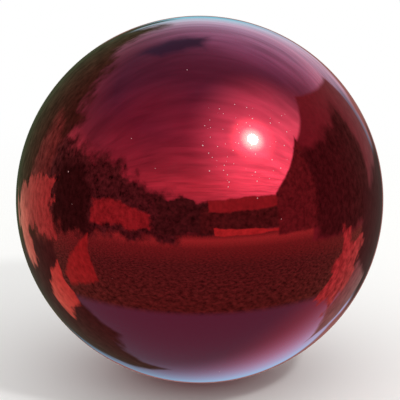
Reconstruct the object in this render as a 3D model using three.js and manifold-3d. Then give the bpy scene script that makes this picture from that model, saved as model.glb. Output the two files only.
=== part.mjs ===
// Garden gazing ball: a hollow ball spun from stainless-steel sheet in two halves, welded,
// mirror-polished and coated clear red. Underneath it has a flush threaded bush for a stake or
// stand, closed by a screw plug, and a rubber ring to stand on.
// Millimetres, +Z up. The origin is on the ball's axis, on the surface that it stands on.

import * as THREE from 'three';
import { mergeVertices } from 'three/addons/utils/BufferGeometryUtils.js';
import Module from 'manifold-3d';

const wasm = await Module();
wasm.setup();

// The ball and its sheet
const ballDiameter = 254;
const sheetThickness = 0.8;
const shellGroundClearance = 0.8;
const recessFoldInsideRadius = 0.6;
const recessCornerRadius = 0.5;

// The seam round the middle
const weldWidth = 1.2;
const weldRootHeight = 0.2;
const bandWidth = 14;
const bandThickness = 1.5;
const bandSlitWidth = 1.5;
const bandClearance = 0.5;

// The screw thread of the base
const threadMajorDiameter = 16;
const threadPitch = 2;
const threadFlankAngle = Math.PI / 6;
const threadDepthShare = 0.5;
const threadCrestShare = 1 / 8;
const threadRadialClearance = 0.15;
const threadFlankClearance = 0.12;
const threadLeadIn = 1.2;

// The screw plug and its washer
const plugThreadTurns = 4.5;
const plugNeckLength = 1;
const plugHeadThickness = 2.4;
const plugHeadSetBack = 0.4;
const plugHeadLip = 0.5;
const plugHeadChamfer = 0.4;
const coinSlotLength = 16;
const coinSlotWidth = 2.4;
const coinSlotDepth = 1.4;
const washerThickness = 1.2;
const washerWidth = 2.9;
const washerThreadClearance = 0.25;

// The flanged bush
const headPocketClearance = 0.5;
const bushWall = 2.5;
const bushTipCover = 1.4;
const flangeGroundClearance = 0.6;
const flangeLandWidth = 6.2;
const flangeRimWidth = 1.6;
const flangeWebThickness = 1.4;
const flangeChamfer = 0.4;
const flangeRecessClearance = 0.6;
const spannerHoleDiameter = 3.2;
const spannerHoleDepth = 1.6;
const spannerHoleCount = 2;

// The foot ring, the gasket and the lock nut
const footRingHeight = 2.2;
const footRingWidth = 2.6;
const footRingChamfer = 0.5;
const footRingClearance = 0.3;
const gasketThickness = 0.6;
const gasketSetBack = 0.6;
const shellHoleClearance = 0.5;
const nutSides = 6;
const nutHeight = 5;
const nutWall = 4.2;
const nutClearance = 0.3;

// How finely round shapes are divided
const ballSegments = 56;
const ballRows = 14;
const fittingSegments = 48;
const threadSegments = 24;
const holeSegments = 16;
const foldSteps = 3;

// How far a cutting shape runs past what it cuts, and how deep a ridge is rooted in its core
const cutOverrun = 1;
const ridgeRoot = 0.3;

const fullTurn = 2 * Math.PI;
const quarterTurn = Math.PI / 2;

// Heights, from the surface that the ball stands on upwards
const pocketRoof = flangeGroundClearance + plugHeadSetBack + plugHeadThickness + washerThickness;
const plugHeadFace = flangeGroundClearance + plugHeadSetBack;
const plugHeadTop = plugHeadFace + plugHeadThickness;
const plugNeckTop = pocketRoof + plugNeckLength;
const plugTip = plugNeckTop + plugThreadTurns * threadPitch;
const bushTop = plugTip + bushTipCover;
const flangeTop = footRingHeight + flangeWebThickness;
const seatUnderside = flangeTop + gasketThickness;
const seatTop = seatUnderside + sheetThickness;

// Radii of the thread, from the plug outwards
const threadDepth = threadDepthShare * threadPitch;
const boreGrooveRadius = threadMajorDiameter / 2;
const boreCrestRadius = boreGrooveRadius - threadDepth;
const plugCrestRadius = boreGrooveRadius - threadRadialClearance;
const plugCoreRadius = boreCrestRadius - threadRadialClearance;
const plugThreadCrestWidth = threadCrestShare * threadPitch;
const plugThreadRootWidth = plugThreadCrestWidth + 2 * threadDepth * Math.tan(threadFlankAngle);

// Radii of the base fitting, from the axis outwards
const washerInnerRadius = boreGrooveRadius + washerThreadClearance;
const washerOuterRadius = washerInnerRadius + washerWidth;
const plugHeadRadius = washerOuterRadius + plugHeadLip;
const pocketRadius = plugHeadRadius + headPocketClearance;
const bushBodyRadius = pocketRadius + bushWall;
const shellHoleRadius = bushBodyRadius + shellHoleClearance;
const grooveInnerRadius = pocketRadius + flangeLandWidth;
const footRingInnerRadius = grooveInnerRadius + footRingClearance;
const footRingOuterRadius = footRingInnerRadius + footRingWidth;
const grooveOuterRadius = footRingOuterRadius + footRingClearance;
const flangeRadius = grooveOuterRadius + flangeRimWidth;
const recessRadius = flangeRadius + flangeRecessClearance;

// The ball: its outer fold is tangent to the sphere, and the fold's lowest point sets the height
const ballRadius = ballDiameter / 2;
const insideRadius = ballRadius - sheetThickness;
const foldRadius = recessFoldInsideRadius + sheetThickness;
const foldCentreRadius = recessRadius + foldRadius;
const foldCentreHeight = shellGroundClearance + foldRadius;
const foldToCentre = ballRadius - foldRadius;
const centreHeight = foldCentreHeight + Math.sqrt(foldToCentre ** 2 - foldCentreRadius ** 2);
const foldAngle = -Math.acos(foldCentreRadius / foldToCentre);

const lacqueredSteel = new THREE.MeshStandardMaterial({
  color: 0xc4183a,
  roughness: 0.04,
  metalness: 1,
});
const stainlessSteel = new THREE.MeshStandardMaterial({
  color: 0xc8cacc,
  roughness: 0.28,
  metalness: 1,
});
const millSteel = new THREE.MeshStandardMaterial({
  color: 0xa9abad,
  roughness: 0.45,
  metalness: 1,
});
const blackRubber = new THREE.MeshStandardMaterial({
  color: 0x1c1c1d,
  roughness: 0.85,
  metalness: 0,
});

// Points along a round stretch of a profile, with angles measured from the outward radius
function arc(centreRadius, height, radius, fromAngle, toAngle, steps) {
  const points = [];
  for (let i = 0; i <= steps; i += 1) {
    const angle = fromAngle + (toAngle - fromAngle) * (i / steps);
    points.push([centreRadius + radius * Math.cos(angle), height + radius * Math.sin(angle)]);
  }
  return points;
}

// A solid turned about the upright axis from [radius, height] points, material on their left
function turned(profile, segments) {
  const points = profile.map(([radius, height]) => new THREE.Vector2(radius, height));
  const geometry = new THREE.LatheGeometry(points, segments);
  geometry.rotateX(quarterTurn);
  return welded(geometry);
}

// A ring turned from a profile that closes on itself
function turnedRing(profile, segments) {
  return turned([...profile, profile[0]], segments);
}

// One closed mesh: corners shared, and triangles that have shrunk to a line left out
function welded(geometry) {
  const bare = geometry.clone();
  bare.deleteAttribute('normal');
  bare.deleteAttribute('uv');
  const merged = mergeVertices(bare);
  const corners = merged.getIndex().array;
  const kept = [];
  for (let i = 0; i < corners.length; i += 3) {
    const [a, b, c] = corners.slice(i, i + 3);
    if (a !== b && b !== c && c !== a) {
      kept.push(a, b, c);
    }
  }
  merged.setIndex(kept);
  return merged;
}

function toSolid(geometry) {
  const closed = welded(geometry);
  const mesh = new wasm.Mesh({
    numProp: 3,
    vertProperties: new Float32Array(closed.getAttribute('position').array),
    triVerts: new Uint32Array(closed.getIndex().array),
  });
  return new wasm.Manifold(mesh);
}

function toGeometry(solid) {
  const mesh = solid.getMesh();
  const geometry = new THREE.BufferGeometry();
  geometry.setAttribute('position', new THREE.BufferAttribute(mesh.vertProperties, 3));
  geometry.setIndex(new THREE.BufferAttribute(mesh.triVerts, 1));
  return geometry;
}

// A thread ridge of trapezoid section. Every ridge lies on one right-hand helix through the
// pocket's roof, so a bolt and its nut are in mesh.
function threadRidge({ rootRadius, crestRadius, rootWidth, crestWidth, fromHeight, toHeight }) {
  const firstStep = Math.floor(((fromHeight - pocketRoof) / threadPitch) * threadSegments);
  const lastStep = Math.ceil(((toHeight - pocketRoof) / threadPitch) * threadSegments);
  const section = [
    [rootRadius, -rootWidth / 2],
    [crestRadius, -crestWidth / 2],
    [crestRadius, crestWidth / 2],
    [rootRadius, rootWidth / 2],
  ];
  const positions = [];
  const triangles = [];
  for (let step = firstStep; step <= lastStep; step += 1) {
    const turns = step / threadSegments;
    for (const [radius, offset] of section) {
      const height = pocketRoof + threadPitch * turns + offset;
      positions.push(radius * Math.cos(fullTurn * turns), radius * Math.sin(fullTurn * turns), height);
    }
  }
  const sides = section.length;
  const lastSection = (lastStep - firstStep) * sides;
  for (let base = 0; base < lastSection; base += sides) {
    for (let side = 0; side < sides; side += 1) {
      const here = base + side;
      const next = base + ((side + 1) % sides);
      triangles.push(here, next + sides, next);
      triangles.push(here, here + sides, next + sides);
    }
  }
  for (let side = 1; side < sides - 1; side += 1) {
    triangles.push(0, side, side + 1);
    triangles.push(lastSection, lastSection + side + 1, lastSection + side);
  }
  const geometry = new THREE.BufferGeometry();
  geometry.setAttribute('position', new THREE.Float32BufferAttribute(positions, 3));
  geometry.setIndex(triangles);
  return geometry;
}

// The angle at which a surface of this radius meets the weld's flat edge
function rimAngle(radius) {
  return Math.asin(weldWidth / 2 / radius);
}

function upperShell() {
  const inside = arc(0, centreHeight, insideRadius, quarterTurn, rimAngle(insideRadius), ballRows);
  const outside = arc(0, centreHeight, ballRadius, rimAngle(ballRadius), quarterTurn, ballRows);
  return turned([...inside, ...outside], ballSegments);
}

// The lower half: the sheet folds up into a shallow recess, whose flat seat holds the bush
function lowerShell() {
  const cornerCentreRadius = recessRadius - recessCornerRadius;
  const cornerCentreHeight = seatUnderside - recessCornerRadius;
  const cornerInsideRadius = recessCornerRadius + sheetThickness;
  const outerRim = -rimAngle(ballRadius);
  const innerRim = -rimAngle(insideRadius);
  return turnedRing([
    [shellHoleRadius, seatUnderside],
    ...arc(cornerCentreRadius, cornerCentreHeight, recessCornerRadius, quarterTurn, 0, foldSteps),
    ...arc(foldCentreRadius, foldCentreHeight, foldRadius, -Math.PI, foldAngle, foldSteps),
    ...arc(0, centreHeight, ballRadius, foldAngle, outerRim, ballRows).slice(1),
    ...arc(0, centreHeight, insideRadius, innerRim, foldAngle, ballRows),
    ...arc(foldCentreRadius, foldCentreHeight, recessFoldInsideRadius, foldAngle, -Math.PI, foldSteps)
      .slice(1),
    ...arc(cornerCentreRadius, cornerCentreHeight, cornerInsideRadius, 0, quarterTurn, foldSteps),
    [shellHoleRadius, seatTop],
  ], ballSegments);
}

// The bead that joins the halves: flush outside, with a low root inside
function seamWeld() {
  const rimRadius = Math.sqrt(ballRadius ** 2 - (weldWidth / 2) ** 2);
  const rootRadius = insideRadius - weldRootHeight;
  return turnedRing([
    [rootRadius, centreHeight - weldWidth / 2],
    [rimRadius, centreHeight - weldWidth / 2],
    [ballRadius, centreHeight],
    [rimRadius, centreHeight + weldWidth / 2],
    [rootRadius, centreHeight + weldWidth / 2],
  ], ballSegments);
}

// The backing strip: rolled to a hoop, open by a slit, clear of the weld's root and the sheet
function seamBand() {
  const sheetRadiusAtEdge = Math.sqrt(insideRadius ** 2 - (bandWidth / 2) ** 2);
  const weldRootRadius = insideRadius - weldRootHeight;
  const outerRadius = Math.min(sheetRadiusAtEdge, weldRootRadius) - bandClearance;
  const innerRadius = outerRadius - bandThickness;
  const slitHalfAngle = bandSlitWidth / 2 / outerRadius;
  const hoop = new THREE.Shape();
  hoop.absarc(0, 0, outerRadius, slitHalfAngle, fullTurn - slitHalfAngle, false);
  hoop.absarc(0, 0, innerRadius, fullTurn - slitHalfAngle, slitHalfAngle, true);
  const geometry = new THREE.ExtrudeGeometry(hoop, {
    depth: bandWidth,
    bevelEnabled: false,
    curveSegments: ballSegments,
  });
  geometry.translate(0, 0, centreHeight - bandWidth / 2);
  return welded(geometry);
}

// The bush: a flange with a groove for the foot ring, a pocket for the plug's head, a threaded
// bore right through, and blind holes for a pin spanner
function baseBush() {
  const body = toSolid(turned([
    [0, pocketRoof],
    [pocketRadius, pocketRoof],
    [pocketRadius, flangeGroundClearance],
    [grooveInnerRadius, flangeGroundClearance],
    [grooveInnerRadius, footRingHeight],
    [grooveOuterRadius, footRingHeight],
    [grooveOuterRadius, flangeGroundClearance],
    [flangeRadius - flangeChamfer, flangeGroundClearance],
    [flangeRadius, flangeGroundClearance + flangeChamfer],
    [flangeRadius, flangeTop],
    [bushBodyRadius, flangeTop],
    [bushBodyRadius, bushTop - flangeChamfer],
    [bushBodyRadius - flangeChamfer, bushTop],
    [0, bushTop],
  ], fittingSegments));
  const bore = toSolid(turned([
    [0, pocketRoof - cutOverrun],
    [boreCrestRadius + threadLeadIn + cutOverrun, pocketRoof - cutOverrun],
    [boreCrestRadius, pocketRoof + threadLeadIn],
    [boreCrestRadius, bushTop - threadLeadIn],
    [boreCrestRadius + threadLeadIn + cutOverrun, bushTop + cutOverrun],
    [0, bushTop + cutOverrun],
  ], threadSegments));
  const groove = toSolid(threadRidge({
    rootRadius: boreCrestRadius - ridgeRoot,
    crestRadius: boreGrooveRadius,
    rootWidth: plugThreadRootWidth + 2 * threadFlankClearance,
    crestWidth: plugThreadCrestWidth + 2 * threadFlankClearance,
    fromHeight: pocketRoof - cutOverrun,
    toHeight: bushTop + cutOverrun,
  }));
  let bush = body.subtract(bore).subtract(groove);
  const spannerHole = new THREE.CylinderGeometry(
    spannerHoleDiameter / 2,
    spannerHoleDiameter / 2,
    spannerHoleDepth + cutOverrun,
    holeSegments,
  );
  spannerHole.rotateX(quarterTurn);
  const holeCentreHeight = flangeGroundClearance + (spannerHoleDepth - cutOverrun) / 2;
  spannerHole.translate((pocketRadius + grooveInnerRadius) / 2, 0, holeCentreHeight);
  for (let hole = 0; hole < spannerHoleCount; hole += 1) {
    const turnedHole = spannerHole.clone();
    turnedHole.rotateZ(fullTurn * (hole / spannerHoleCount));
    bush = bush.subtract(toSolid(turnedHole));
  }
  return toGeometry(bush);
}

function bushGasket() {
  return turnedRing([
    [shellHoleRadius, flangeTop],
    [flangeRadius - gasketSetBack, flangeTop],
    [flangeRadius - gasketSetBack, seatUnderside],
    [shellHoleRadius, seatUnderside],
  ], fittingSegments);
}

// The lock nut: a hexagon with its corners chamfered, above and below, by a turned envelope
function bushLockNut() {
  const halfFlats = bushBodyRadius + nutClearance + nutWall;
  const halfSideAngle = Math.PI / nutSides;
  const cornerRadius = halfFlats / Math.cos(halfSideAngle);
  const hexagon = new THREE.Shape();
  for (let corner = 0; corner < nutSides; corner += 1) {
    const angle = fullTurn * (corner / nutSides);
    const x = cornerRadius * Math.cos(angle);
    const y = cornerRadius * Math.sin(angle);
    if (corner === 0) {
      hexagon.moveTo(x, y);
    } else {
      hexagon.lineTo(x, y);
    }
  }
  hexagon.closePath();
  const bore = new THREE.Path();
  bore.absarc(0, 0, bushBodyRadius + nutClearance, 0, fullTurn, true);
  hexagon.holes.push(bore);
  const prism = new THREE.ExtrudeGeometry(hexagon, {
    depth: nutHeight,
    bevelEnabled: false,
    curveSegments: fittingSegments,
  });
  prism.translate(0, 0, seatTop);
  const chamferHeight = (cornerRadius - halfFlats) * Math.tan(halfSideAngle);
  const envelope = turned([
    [0, seatTop],
    [halfFlats, seatTop],
    [cornerRadius, seatTop + chamferHeight],
    [cornerRadius, seatTop + nutHeight - chamferHeight],
    [halfFlats, seatTop + nutHeight],
    [0, seatTop + nutHeight],
  ], fittingSegments);
  return toGeometry(toSolid(prism).intersect(toSolid(envelope)));
}

// The screw plug: a flat head with a coin slot, a plain neck and a threaded shank
function basePlug() {
  const head = toSolid(turned([
    [0, plugHeadFace],
    [plugHeadRadius - plugHeadChamfer, plugHeadFace],
    [plugHeadRadius, plugHeadFace + plugHeadChamfer],
    [plugHeadRadius, plugHeadTop],
    [0, plugHeadTop],
  ], fittingSegments));
  const core = toSolid(turned([
    [0, plugHeadFace + coinSlotDepth + ridgeRoot],
    [plugCoreRadius, plugHeadFace + coinSlotDepth + ridgeRoot],
    [plugCoreRadius, plugTip - threadLeadIn],
    [plugCoreRadius - threadLeadIn, plugTip],
    [0, plugTip],
  ], threadSegments));
  const ridge = toSolid(threadRidge({
    rootRadius: plugCoreRadius - ridgeRoot,
    crestRadius: plugCrestRadius,
    rootWidth: plugThreadRootWidth,
    crestWidth: plugThreadCrestWidth,
    fromHeight: plugNeckTop - cutOverrun,
    toHeight: plugTip + cutOverrun,
  }));
  const threadEnds = toSolid(turned([
    [0, plugNeckTop],
    [plugCoreRadius, plugNeckTop],
    [plugCoreRadius + threadLeadIn, plugNeckTop + threadLeadIn],
    [plugCoreRadius + threadLeadIn, plugTip - 2 * threadLeadIn],
    [plugCoreRadius - threadLeadIn, plugTip],
    [0, plugTip],
  ], threadSegments));
  const slot = new THREE.BoxGeometry(coinSlotLength, coinSlotWidth, coinSlotDepth + cutOverrun);
  slot.translate(0, 0, plugHeadFace + (coinSlotDepth - cutOverrun) / 2);
  const shank = core.add(ridge.intersect(threadEnds));
  return toGeometry(head.add(shank).subtract(toSolid(slot)));
}

function plugWasher() {
  return turnedRing([
    [washerInnerRadius, plugHeadTop],
    [washerOuterRadius, plugHeadTop],
    [washerOuterRadius, pocketRoof],
    [washerInnerRadius, pocketRoof],
  ], fittingSegments);
}

function footRing() {
  return turnedRing([
    [footRingInnerRadius + footRingChamfer, 0],
    [footRingOuterRadius - footRingChamfer, 0],
    [footRingOuterRadius, footRingChamfer],
    [footRingOuterRadius, footRingHeight],
    [footRingInnerRadius, footRingHeight],
    [footRingInnerRadius, footRingChamfer],
  ], fittingSegments);
}

function piece(name, geometry, material) {
  const mesh = new THREE.Mesh(geometry, material);
  mesh.name = name;
  return mesh;
}

const shells = new THREE.Group();
shells.add(piece('upper_shell', upperShell(), lacqueredSteel));
shells.add(piece('lower_shell', lowerShell(), lacqueredSteel));
shells.add(piece('seam_weld', seamWeld(), lacqueredSteel));
shells.add(piece('seam_band', seamBand(), millSteel));

const baseFitting = new THREE.Group();
baseFitting.add(piece('base_bush', baseBush(), stainlessSteel));
baseFitting.add(piece('bush_gasket', bushGasket(), blackRubber));
baseFitting.add(piece('bush_lock_nut', bushLockNut(), millSteel));
baseFitting.add(piece('foot_ring', footRing(), blackRubber));

const drainPlug = new THREE.Group();
drainPlug.add(piece('base_plug', basePlug(), stainlessSteel));
drainPlug.add(piece('plug_washer', plugWasher(), blackRubber));

const gazingBall = new THREE.Group();
gazingBall.add(shells, baseFitting, drainPlug);

export default gazingBall;
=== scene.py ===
import math

import bmesh
import bpy
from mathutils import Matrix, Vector


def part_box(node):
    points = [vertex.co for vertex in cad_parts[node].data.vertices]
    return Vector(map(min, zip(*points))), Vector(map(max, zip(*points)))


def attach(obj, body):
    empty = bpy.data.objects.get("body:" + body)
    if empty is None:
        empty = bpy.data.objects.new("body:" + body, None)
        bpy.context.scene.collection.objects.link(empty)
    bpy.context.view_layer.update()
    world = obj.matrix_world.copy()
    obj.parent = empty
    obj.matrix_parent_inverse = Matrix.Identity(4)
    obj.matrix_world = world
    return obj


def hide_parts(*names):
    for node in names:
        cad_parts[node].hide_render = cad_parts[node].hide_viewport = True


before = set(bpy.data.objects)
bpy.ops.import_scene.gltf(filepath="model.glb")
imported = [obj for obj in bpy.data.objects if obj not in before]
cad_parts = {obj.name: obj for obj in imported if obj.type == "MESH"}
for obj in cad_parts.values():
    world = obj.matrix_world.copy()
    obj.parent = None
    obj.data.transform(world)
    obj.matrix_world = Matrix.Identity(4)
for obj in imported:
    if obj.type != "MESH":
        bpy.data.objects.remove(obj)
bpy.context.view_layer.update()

# Garden gazing ball: mirror-polished stainless shells under clear red lacquer, a turned
# stainless fitting in the underside and a rubber foot ring. Metres, +Z up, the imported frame.

scene = bpy.context.scene
fullTurn = 2 * math.pi
quarterTurn = math.pi / 2


def hexToLinear(code):
    # an sRGB hex colour as the linear colour that shaders take
    channels = [int(code[i : i + 2], 16) / 255 for i in (1, 3, 5)]
    return [c / 12.92 if c <= 0.04045 else ((c + 0.055) / 1.055) ** 2.4 for c in channels] + [1]


def addNode(tree, kind, inputs=None, **settings):
    # one node: its settings, then for each input a value, the socket that feeds it, or a node,
    # which stands for its first live output
    node = tree.nodes.new(kind)
    for name, value in settings.items():
        setattr(node, name, value)
    for key, value in (inputs or {}).items():
        if isinstance(value, bpy.types.Node):
            value = next(socket for socket in value.outputs if socket.enabled)
        if isinstance(value, bpy.types.NodeSocket):
            tree.links.new(value, node.inputs[key])
        else:
            node.inputs[key].default_value = value
    return node


def addObject(name, data):
    item = bpy.data.objects.new(name, data)
    scene.collection.objects.link(item)
    return item


def meshOf(name, shape):
    # a bmesh as a mesh, after which it is freed
    mesh = bpy.data.meshes.new(name)
    shape.to_mesh(mesh)
    shape.free()
    return mesh


# Materials. Each noise's Scale is one over the real size of its grain, in metres.

noiseSpan = {"From Min": 0.3, "From Max": 0.7}  # nearly all of a noise lies in this span
noiseMiddle = 0.5
smoothStep = {"interpolation_type": "SMOOTHSTEP"}  # for a span that eases in and out


def emptyMaterial(name):
    material = bpy.data.materials.new(name)
    material.use_nodes = True
    material.node_tree.nodes.clear()
    return material, material.node_tree


lacquerFinish = {
    "tint": "#DD1942",
    "deepTint": "#D2153D",
    "tintNoise": {"Scale": 1 / 0.09, "Detail": 2},
    "roughness": 0.015,
    "smudgeRoughness": 0.045,
    "smudgeNoise": {"Scale": 1 / 0.03, "Detail": 5, "Roughness": 0.6},
    "smudgeSpan": {"From Min": 0.52, "From Max": 0.75},
    "rippleNoise": {"Scale": 1 / 0.045, "Detail": 1},
    "rippleHeight": 0.000004,
    "coatRoughness": 0.03,
    "coatIor": 1.5,
    "peelNoise": {"Scale": 1 / 0.0016},
    "peelHeight": 0.00000008,
    # pale rain specks everywhere, crowded as painted sparkle round where the key lamp's glint falls
    "speckAndSparkleColour": "#CE9A98",
    "speckSpacing": 0.0022,
    "speckRadius": 0.00044,
    "speckTurn": (0.4, 0.7, 0.2),
    "speckShare": 0.005,
    "glintSparkleShare": 0.95,
    "glintSparkleRadius": 0.037,
    "glintSparkleWay": (0.23, -0.83, 0.5),
}


def redLacquerOverMirrorSteel(glintSparkleCentre):
    # Stainless sheet polished to a mirror, sprayed with transparent red lacquer and a clear top
    # coat. The metal gives the red its depth and the coat a second, untinted reflection that
    # takes over towards the rim. Rain leaves a few pale specks and faint dried smudges. The specks
    # crowd round where the key lamp's glint falls in the camera's view; that cluster is painted sparkle.
    size = lacquerFinish
    material, tree = emptyMaterial("red_lacquer_over_mirror_steel")
    place = addNode(tree, "ShaderNodeTexCoord").outputs["Object"]

    tintNoise = addNode(tree, "ShaderNodeTexNoise", {"Vector": place, **size["tintNoise"]})
    tint = addNode(tree, "ShaderNodeMix", {
        0: tintNoise, 6: hexToLinear(size["tint"]), 7: hexToLinear(size["deepTint"]),
    }, data_type="RGBA")

    # specks: a few cells of a cell pattern, each with a dot at its middle; round the key lamp's
    # glint nearly every cell keeps its dot, which paints sparkle there
    shifted = addNode(tree, "ShaderNodeMapping", {"Vector": place, "Rotation": size["speckTurn"]})
    cells = addNode(tree, "ShaderNodeTexVoronoi", {"Vector": shifted, "Scale": 1 / size["speckSpacing"]})
    chance = addNode(tree, "ShaderNodeSeparateColor", {0: cells.outputs["Color"]}).outputs
    # painted sparkle: the share of kept dots is highest at the glint's spot and falls to the sparse rain
    # specks at its radius
    fromGlintSparkle = addNode(tree, "ShaderNodeVectorMath", {0: place, 1: glintSparkleCentre}, operation="DISTANCE")
    share = addNode(tree, "ShaderNodeMapRange", {
        "Value": fromGlintSparkle, "From Max": size["glintSparkleRadius"],
        "To Min": size["glintSparkleShare"], "To Max": size["speckShare"],
    })
    kept = addNode(tree, "ShaderNodeMath", {0: chance[0], 1: share}, operation="LESS_THAN")
    dotRadius = addNode(tree, "ShaderNodeMath", {
        0: chance[1], 1: size["speckRadius"] / size["speckSpacing"],
    }, operation="MULTIPLY")
    inDot = addNode(tree, "ShaderNodeMath", {
        0: cells.outputs["Distance"], 1: dotRadius,
    }, operation="LESS_THAN")
    speckAndSparkle = addNode(tree, "ShaderNodeMath", {0: kept, 1: inDot}, operation="MULTIPLY")
    # the dots are matt and pale: rain specks, and round the glint painted sparkle
    colour = addNode(tree, "ShaderNodeMix", {
        0: speckAndSparkle, 6: tint, 7: hexToLinear(size["speckAndSparkleColour"]),
    }, data_type="RGBA")
    metallic = addNode(tree, "ShaderNodeMath", {0: 1, 1: speckAndSparkle}, operation="SUBTRACT")

    # smudges where water has dried: a little rougher, in soft uneven patches
    smudge = addNode(tree, "ShaderNodeTexNoise", {"Vector": place, **size["smudgeNoise"]})
    roughness = addNode(tree, "ShaderNodeMapRange", {
        "Value": smudge, **size["smudgeSpan"],
        "To Min": size["roughness"], "To Max": size["smudgeRoughness"],
    }, **smoothStep)

    # long shallow ripples from spinning and buffing, and the fine peel of sprayed lacquer
    ripple = addNode(tree, "ShaderNodeTexNoise", {"Vector": place, **size["rippleNoise"]})
    rippleBump = addNode(tree, "ShaderNodeBump", {"Height": ripple, "Distance": size["rippleHeight"]})
    peel = addNode(tree, "ShaderNodeTexNoise", {"Vector": place, **size["peelNoise"]})
    peelBump = addNode(tree, "ShaderNodeBump", {
        "Height": peel, "Distance": size["peelHeight"], "Normal": rippleBump,
    })

    shader = addNode(tree, "ShaderNodeBsdfPrincipled", {
        "Base Color": colour, "Metallic": metallic,
        "Roughness": roughness, "Normal": rippleBump,
        "Coat Weight": 1, "Coat Roughness": size["coatRoughness"], "Coat IOR": size["coatIor"],
        "Coat Normal": peelBump,
    })
    addNode(tree, "ShaderNodeOutputMaterial", {"Surface": shader})
    return material


def bareSteel(material, tree, size, marks, grooves):
    # uncoated steel: its tone follows the marks, its roughness and relief the grooves
    colour = addNode(tree, "ShaderNodeMix", {
        0: marks, 6: hexToLinear(size["metal"]), 7: hexToLinear(size["marked"]),
    }, data_type="RGBA")
    roughness = addNode(tree, "ShaderNodeMapRange", {
        "Value": grooves, **noiseSpan,
        "To Min": size["smoothRoughness"], "To Max": size["grooveRoughness"],
    })
    bump = addNode(tree, "ShaderNodeBump", {"Height": grooves, "Distance": size["grooveHeight"]})
    shader = addNode(tree, "ShaderNodeBsdfPrincipled", {
        "Base Color": colour, "Metallic": 1, "Roughness": roughness, "Normal": bump,
    })
    addNode(tree, "ShaderNodeOutputMaterial", {"Surface": shader})
    return material


turnedFinish = {
    "metal": "#CBCAC6",
    "marked": "#B4AFA6",
    "ringNoise": {"Scale": 1 / 0.00022, "Detail": 1},
    "grooveHeight": 0.000006,
    "stainNoise": {"Scale": 1 / 0.006, "Detail": 4},
    "stainSpan": {"From Min": 0.5, "From Max": 0.75},
    "smoothRoughness": 0.2,
    "grooveRoughness": 0.36,
}


def turnedStainlessSteel():
    # Bar turned on a lathe and left as machined. The tool's feed leaves fine rings that spread
    # the highlight; real feed is near 0.1 mm, drawn here at 0.22 mm so that it shows.
    size = turnedFinish
    material, tree = emptyMaterial("lathe_turned_stainless_steel")
    place = addNode(tree, "ShaderNodeTexCoord").outputs["Object"]
    parts = addNode(tree, "ShaderNodeSeparateXYZ", {0: place}).outputs
    flat = addNode(tree, "ShaderNodeCombineXYZ", {0: parts[0], 1: parts[1]})
    radius = addNode(tree, "ShaderNodeVectorMath", {0: flat}, operation="LENGTH")
    along = addNode(tree, "ShaderNodeMath", {0: radius, 1: parts[2]}, operation="ADD")
    rings = addNode(tree, "ShaderNodeTexNoise", {"W": along, **size["ringNoise"]}, noise_dimensions="1D")
    stains = addNode(tree, "ShaderNodeTexNoise", {"Vector": place, **size["stainNoise"]})
    stained = addNode(tree, "ShaderNodeMapRange", {"Value": stains, **size["stainSpan"]}, **smoothStep)
    return bareSteel(material, tree, size, stained, rings)


millFinish = {
    "metal": "#A9A8A4",
    "marked": "#8E8C87",
    "streakLength": 0.012,
    "streakWidth": 0.0006,
    "streakNoise": {"Scale": 1, "Detail": 3},
    "grooveHeight": 0.000005,
    "smoothRoughness": 0.34,
    "grooveRoughness": 0.5,
}


def millFinishSteel():
    # Rolled stainless strip and a bought nut, left as supplied: dull grey, with streaks that
    # run round the ring, along the way that the strip was rolled.
    size = millFinish
    material, tree = emptyMaterial("mill_finish_stainless_steel")
    place = addNode(tree, "ShaderNodeTexCoord").outputs["Object"]
    stretched = addNode(tree, "ShaderNodeMapping", {
        "Vector": place,
        "Scale": (1 / size["streakLength"], 1 / size["streakLength"], 1 / size["streakWidth"]),
    })
    streaks = addNode(tree, "ShaderNodeTexNoise", {"Vector": stretched, **size["streakNoise"]})
    return bareSteel(material, tree, size, streaks, streaks)


rubberFinish = {
    "dustSpan": {"From Min": 0.45, "From Max": 0.8},
    "roughest": 0.95,
}

footRubberFinish = {
    **rubberFinish,
    "rubber": "#1A1A1B",
    "dust": "#6B665E",
    "grainNoise": {"Scale": 1 / 0.00035, "Detail": 3},
    "grainHeight": 0.00002,
    "dustNoise": {"Scale": 1 / 0.004, "Detail": 5, "Roughness": 0.65},
    "dustShare": 0.25,
    "scuffHeight": 0.0006,
    "scuffShare": 0.5,
    "roughness": 0.7,
}

sealRubberFinish = {
    **rubberFinish,
    "rubber": "#202022",
    "dust": "#4A4844",
    "grainNoise": {"Scale": 1 / 0.00025, "Detail": 3},
    "grainHeight": 0.00001,
    "dustNoise": {"Scale": 1 / 0.003, "Detail": 5, "Roughness": 0.65},
    "dustShare": 0.12,
    "scuffHeight": 0.0001,
    "scuffShare": 0.2,
    "roughness": 0.6,
}


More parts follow.
